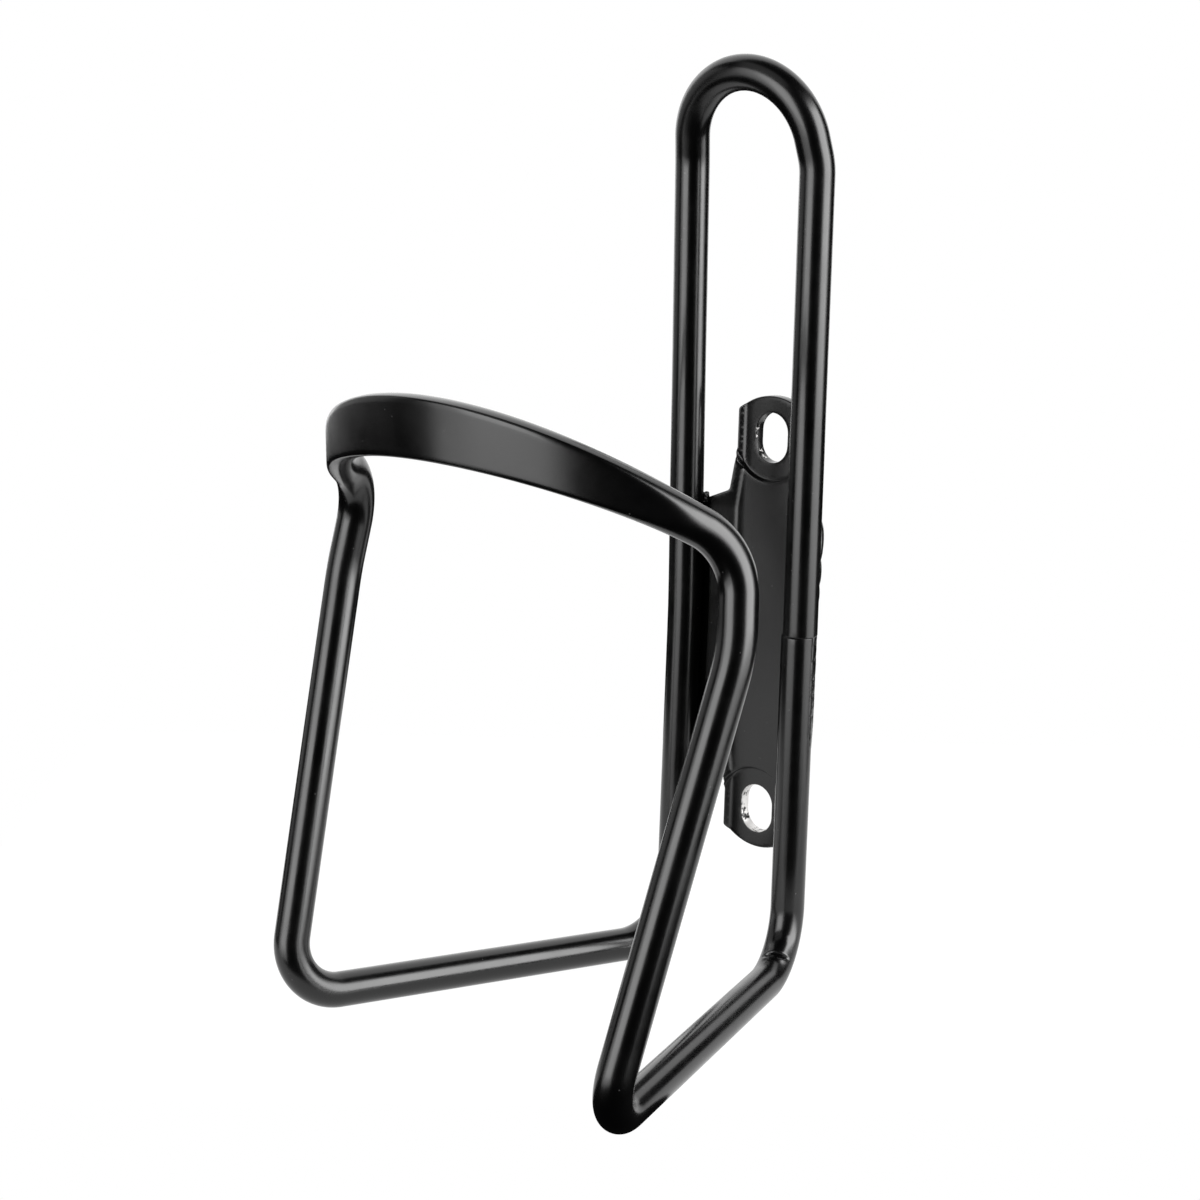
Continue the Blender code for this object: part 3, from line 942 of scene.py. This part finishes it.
def slot_wear(tree, place, height):
    """How near a point is to the wall of the slot at the given height, from 0 to 1."""
    axes = node(tree, "ShaderNodeSeparateXYZ")
    tree.links.new(place, axes.inputs["Vector"])
    x = maths(tree, "SUBTRACT", axes.outputs["X"], height * math.sin(PLATE_TURN))
    z = maths(tree, "ABSOLUTE", maths(tree, "SUBTRACT", axes.outputs["Z"], height))
    z = maths(tree, "MAXIMUM", maths(tree, "SUBTRACT", z, (SLOT_LENGTH - SLOT_WIDTH) / 2.0), 0.0)
    square = maths(tree, "ADD", maths(tree, "MULTIPLY", x, x), maths(tree, "MULTIPLY", z, z))
    away = maths(tree, "SQRT", square)
    near, far = WEAR_FROM_WALL
    return ranged(tree, away, (SLOT_WIDTH / 2.0 + near, SLOT_WIDTH / 2.0 + far), (1.0, 0.0))


def plate_paint_with_wear():
    """The plate's paint, with bare metal in the slots where bolts have scraped it off."""
    material = paint("plate paint", PLATE_ROUGHNESS, PLATE_PEEL)
    tree = material.node_tree
    shader = tree.nodes["Principled BSDF"]
    place = node(tree, "ShaderNodeTexCoord").outputs["Object"]
    flakes = texture(tree, place, "ShaderNodeTexNoise", Scale=FLAKE_SCALE, Detail=3.0, Roughness=0.7)
    many = ranged(tree, flakes.outputs["Fac"], MANY_FLAKES, (0.0, 1.0))
    few = ranged(tree, flakes.outputs["Fac"], FEW_FLAKES, (0.0, 1.0))
    lower = maths(tree, "MULTIPLY", slot_wear(tree, place, -SLOT_Z), many)
    upper = maths(tree, "MULTIPLY", slot_wear(tree, place, SLOT_Z), few)
    bare = maths(tree, "MAXIMUM", lower, upper)
    painted = shader.inputs["Base Color"].links[0].from_socket
    tree.links.new(mixed(tree, bare, painted, BARE_METAL), shader.inputs["Base Color"])
    tree.links.new(bare, shader.inputs["Metallic"])
    sheen = shader.inputs["Roughness"].links[0].from_socket
    rough = ranged(tree, bare, (0.0, 1.0), (0.0, WORN_ROUGHER))
    tree.links.new(maths(tree, "ADD", sheen, rough), shader.inputs["Roughness"])
    return material


# --- the studio -------------------------------------------------------------------------------------


def aim(item, target):
    item.rotation_euler = (target - item.location).to_track_quat("-Z", "Y").to_euler()


def make_camera():
    data = bpy.data.cameras.new("camera")
    data.lens = CAMERA_LENS
    data.sensor_width = CAMERA_SENSOR
    data.clip_start = CAMERA_CLIP_START
    camera = bpy.data.objects.new("camera", data)
    camera.location = CAMERA_PLACE
    back = Vector((
        math.sin(CAMERA_AZIMUTH) * math.cos(CAMERA_ELEVATION),
        -math.cos(CAMERA_AZIMUTH) * math.cos(CAMERA_ELEVATION),
        math.sin(CAMERA_ELEVATION),
    ))
    turned = back.to_track_quat("Z", "Y").to_matrix().to_4x4()
    camera.matrix_world = Matrix.Translation(CAMERA_PLACE) @ turned @ Matrix.Rotation(CAMERA_ROLL, 4, "Z")
    bpy.context.scene.collection.objects.link(camera)
    bpy.context.scene.camera = camera


def soft_light(name, azimuth, elevation, distance, width, height, radiance):
    """A flat soft light, placed by its direction from the object relative to the camera's side."""
    data = bpy.data.lights.new(name, "AREA")
    data.shape = "RECTANGLE"
    data.size = width
    data.size_y = height
    data.energy = radiance * math.pi * width * height
    light = bpy.data.objects.new(name, data)
    turn = CAMERA_AZIMUTH + math.radians(azimuth)
    lift = math.radians(elevation)
    direction = Vector((math.sin(turn) * math.cos(lift), -math.cos(turn) * math.cos(lift), math.sin(lift)))
    light.location = CENTRE + direction * distance
    bpy.context.scene.collection.objects.link(light)
    aim(light, CENTRE)
    light.visible_camera = False


def make_world():
    """White where the camera sees past the object, and nearly black to everything else."""
    world = bpy.data.worlds.new("studio")
    bpy.context.scene.world = world
    world.use_nodes = True
    tree = world.node_tree
    background = tree.nodes["Background"]
    path = tree.nodes.new("ShaderNodeLightPath")
    mix = tree.nodes.new("ShaderNodeMix")
    mix.data_type = "RGBA"
    mix.inputs["A"].default_value = (WORLD_GREY, WORLD_GREY, WORLD_GREY, 1.0)
    mix.inputs["B"].default_value = (1.0, 1.0, 1.0, 1.0)
    tree.links.new(path.outputs["Is Camera Ray"], mix.inputs["Factor"])
    tree.links.new(mix.outputs["Result"], background.inputs["Color"])


def make_floor(height):
    """A small pale sheet under the object, glowing so that it reads white."""
    toward = Vector((math.sin(CAMERA_AZIMUTH), -math.cos(CAMERA_AZIMUTH), 0.0))
    across = Vector((math.cos(CAMERA_AZIMUTH), math.sin(CAMERA_AZIMUTH), 0.0))
    base = Vector((0.0, CENTRE.y, height))
    corners = [
        base + toward * FLOOR_FRONT - across * FLOOR_LEFT,
        base + toward * FLOOR_FRONT + across * FLOOR_RIGHT,
        base - toward * FLOOR_BACK + across * FLOOR_RIGHT,
        base - toward * FLOOR_BACK - across * FLOOR_LEFT,
    ]
    mesh = bpy.data.meshes.new("floor")
    mesh.from_pydata([tuple(c) for c in corners], [], [(0, 1, 2, 3)])
    floor = bpy.data.objects.new("floor", mesh)
    bpy.context.scene.collection.objects.link(floor)
    material = bpy.data.materials.new("floor")
    material.use_nodes = True
    shader = material.node_tree.nodes["Principled BSDF"]
    shader.inputs["Base Color"].default_value = (FLOOR_BASE, FLOOR_BASE, FLOOR_BASE, 1.0)
    shader.inputs["Roughness"].default_value = FLOOR_ROUGHNESS
    shader.inputs["Specular IOR Level"].default_value = 0.0
    shader.inputs["Emission Color"].default_value = (1.0, 1.0, 1.0, 1.0)
    shader.inputs["Emission Strength"].default_value = FLOOR_GLOW
    mesh.materials.append(material)


def main():
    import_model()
    cad_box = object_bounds()
    bpy.context.scene.view_settings.view_transform = "Standard"
    rod = make_rod()
    plate = make_plate()
    right_bead = make_bead("right_weld", 1.0, RIGHT_LOBES)
    left_bead = make_bead("left_weld", -1.0, LEFT_LOBES)
    rod_paint = paint("rod paint", ROD_ROUGHNESS, ROD_PEEL)
    plate_paint = plate_paint_with_wear()
    bead_paint = paint("bead paint", BEAD_ROUGHNESS, BEAD_PEEL)
    for piece, material, slot, stands_for in (
        (rod, rod_paint, "rod_paint", "bent_rod"),
        (plate, plate_paint, "plate_paint", "mounting_plate"),
        (right_bead, bead_paint, "right_bead_paint", "right_weld_bead"),
        (left_bead, bead_paint, "left_bead_paint", "left_weld_bead"),
    ):
        piece.data.materials.append(material)
        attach(piece, "root")
        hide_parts(stands_for)
    weld_end = make_weld_end("left_weld_end")
    weld_end.data.materials.append(bead_paint)
    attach(weld_end, "root")
    make_camera()
    make_world()
    make_floor(cad_box[0][2])
    for name, azimuth, elevation, distance, width, height, radiance in SOFTBOXES:
        soft_light(name, azimuth, elevation, distance, width, height, radiance)


main()
